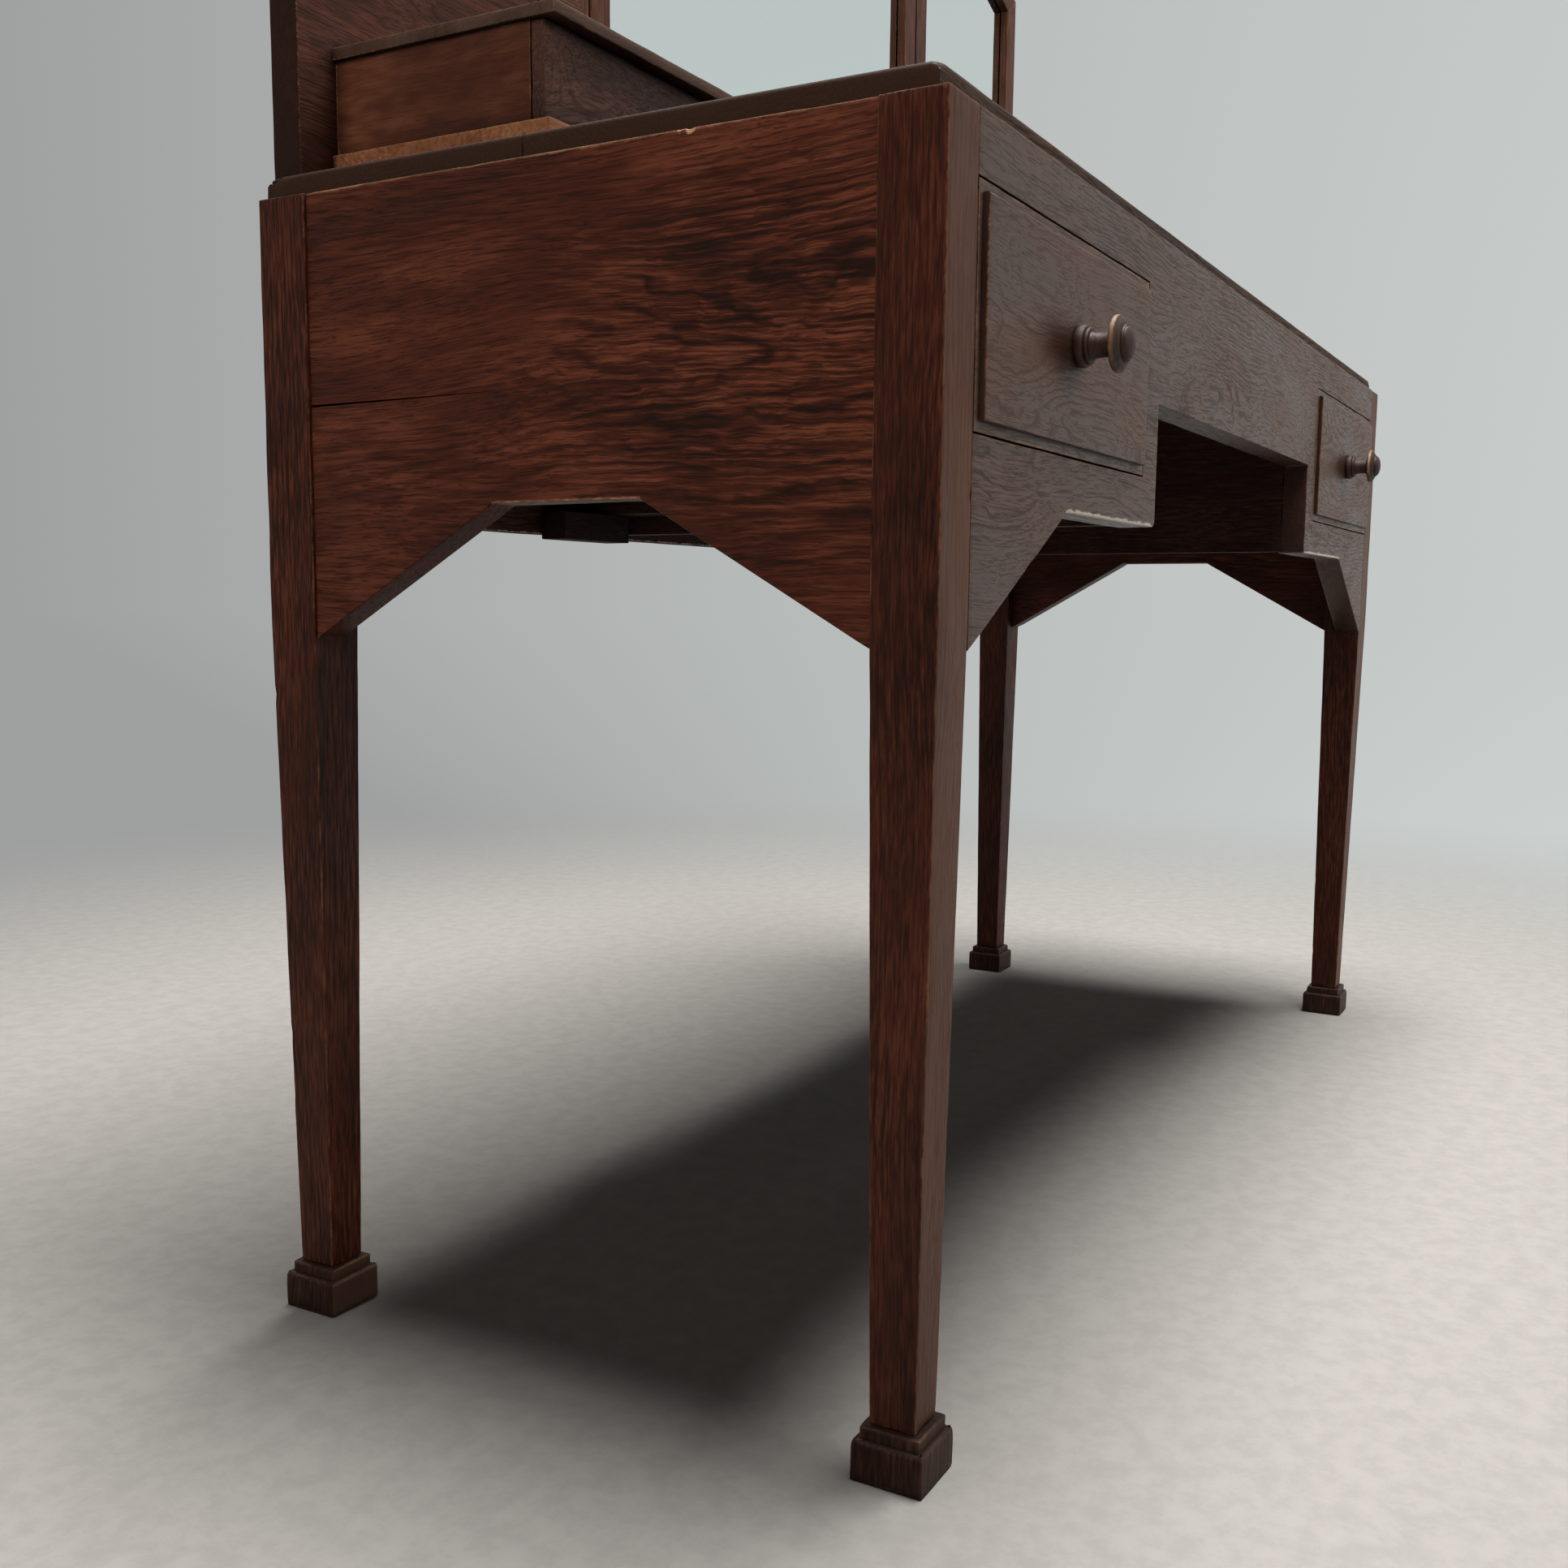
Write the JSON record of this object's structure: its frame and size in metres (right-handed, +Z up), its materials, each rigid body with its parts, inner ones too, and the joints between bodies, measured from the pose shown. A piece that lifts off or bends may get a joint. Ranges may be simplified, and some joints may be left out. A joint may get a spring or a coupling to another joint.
{
  "type": "knee-hole dressing table with a three-part mirror",
  "caption": "Knee-hole dressing table in dark oak on tapered block-footed legs, with drawers, jewel cases on top and a mirror with hinged wings.",
  "frame": {"origin": "on the floor, under the middle of the whole table's box", "axes": "+Z up, -Y towards the sitter, +X towards the right end as the sitter sees it"},
  "size_m": [1.2236, 0.513, 1.345],
  "materials": {
    "leg_oak": "fumed and waxed",
    "end_panel_oak": "fumed and waxed",
    "front_oak": "worn wax",
    "top_oak": "worn wax",
    "case_oak": "fumed and waxed",
    "jewel_base_oak": "worn",
    "mirror_frame_oak": "fumed and waxed",
    "carcase_oak": "dark stain",
    "drawer_lining": "bare, aged",
    "backing_wood": "bare, aged",
    "knob_wood": "polished",
    "silvered_glass": "bevelled plate",
    "hinge_brass": "dull"
  },
  "bodies": {
    "root": {"back_board": "carcase_oak", "drawer_guides": "carcase_oak", "drawer_runners": "carcase_oak", "end_panel_left_lower": "end_panel_oak", "end_panel_left_upper": "end_panel_oak", "end_panel_right_lower": "end_panel_oak", "end_panel_right_upper": "end_panel_oak", "foot_back_left": "leg_oak", "foot_back_right": "leg_oak", "foot_front_left": "leg_oak", "foot_front_right": "leg_oak", "front_board": "front_oak", "gallery_board_left": "case_oak", "gallery_board_right": "case_oak", "glue_blocks": "carcase_oak", "hinge_leaves_centre": "hinge_brass", "housing_side_left": "carcase_oak", "housing_side_right": "carcase_oak", "jewel_case_left_base": "jewel_base_oak", "jewel_case_left_lid": "case_oak", "jewel_case_left_sides": "case_oak", "jewel_case_right_base": "jewel_base_oak", "jewel_case_right_lid": "case_oak", "jewel_case_right_sides": "case_oak", "leg_back_left": "leg_oak", "leg_back_right": "leg_oak", "leg_front_left": "leg_oak", "leg_front_right": "leg_oak", "mirror_centre_backing": "backing_wood", "mirror_centre_frame": "mirror_frame_oak", "mirror_centre_glass": "silvered_glass", "mirror_posts": "backing_wood", "top_board_back": "top_oak", "top_board_front": "top_oak"},
    "drawer_left": {"drawer_left_back": "drawer_lining", "drawer_left_bottom": "drawer_lining", "drawer_left_front": "front_oak", "drawer_left_knob": "knob_wood", "drawer_left_side_inner": "drawer_lining", "drawer_left_side_outer": "drawer_lining"},
    "drawer_right": {"drawer_right_back": "drawer_lining", "drawer_right_bottom": "drawer_lining", "drawer_right_front": "front_oak", "drawer_right_knob": "knob_wood", "drawer_right_side_inner": "drawer_lining", "drawer_right_side_outer": "drawer_lining"},
    "jewel_drawer_left": {"jewel_drawer_left_front": "case_oak", "jewel_drawer_left_knob": "knob_wood", "jewel_drawer_left_tray": "drawer_lining"},
    "jewel_drawer_right": {"jewel_drawer_right_front": "case_oak", "jewel_drawer_right_knob": "knob_wood", "jewel_drawer_right_tray": "drawer_lining"},
    "wing_left": {"hinge_leaves_left": "hinge_brass", "mirror_left_backing": "backing_wood", "mirror_left_frame": "mirror_frame_oak", "mirror_left_glass": "silvered_glass"},
    "wing_right": {"hinge_leaves_right": "hinge_brass", "mirror_right_backing": "backing_wood", "mirror_right_frame": "mirror_frame_oak", "mirror_right_glass": "silvered_glass"}
  },
  "joints": [
    {"name": "drawer_left_slide", "type": "slide", "parent": "root", "child": "drawer_left", "axis": [0, -1, 0], "range_m": [0, 0.3]},
    {"name": "jewel_drawer_left_slide", "type": "slide", "parent": "root", "child": "jewel_drawer_left", "axis": [0, -1, 0], "range_m": [0, 0.11]},
    {"name": "drawer_right_slide", "type": "slide", "parent": "root", "child": "drawer_right", "axis": [0, -1, 0], "range_m": [0, 0.3]},
    {"name": "jewel_drawer_right_slide", "type": "slide", "parent": "root", "child": "jewel_drawer_right", "axis": [0, -1, 0], "range_m": [0, 0.11]},
    {"name": "wing_left_hinge", "type": "hinge", "parent": "root", "child": "wing_left", "pos_m": [-0.29475, 0.2135, 1.078], "axis": [0, 0, 1], "range_deg": [0, 170]},
    {"name": "wing_right_hinge", "type": "hinge", "parent": "root", "child": "wing_right", "pos_m": [0.29475, 0.2135, 1.078], "axis": [0, 0, -1], "range_deg": [0, 170]}
  ]
}
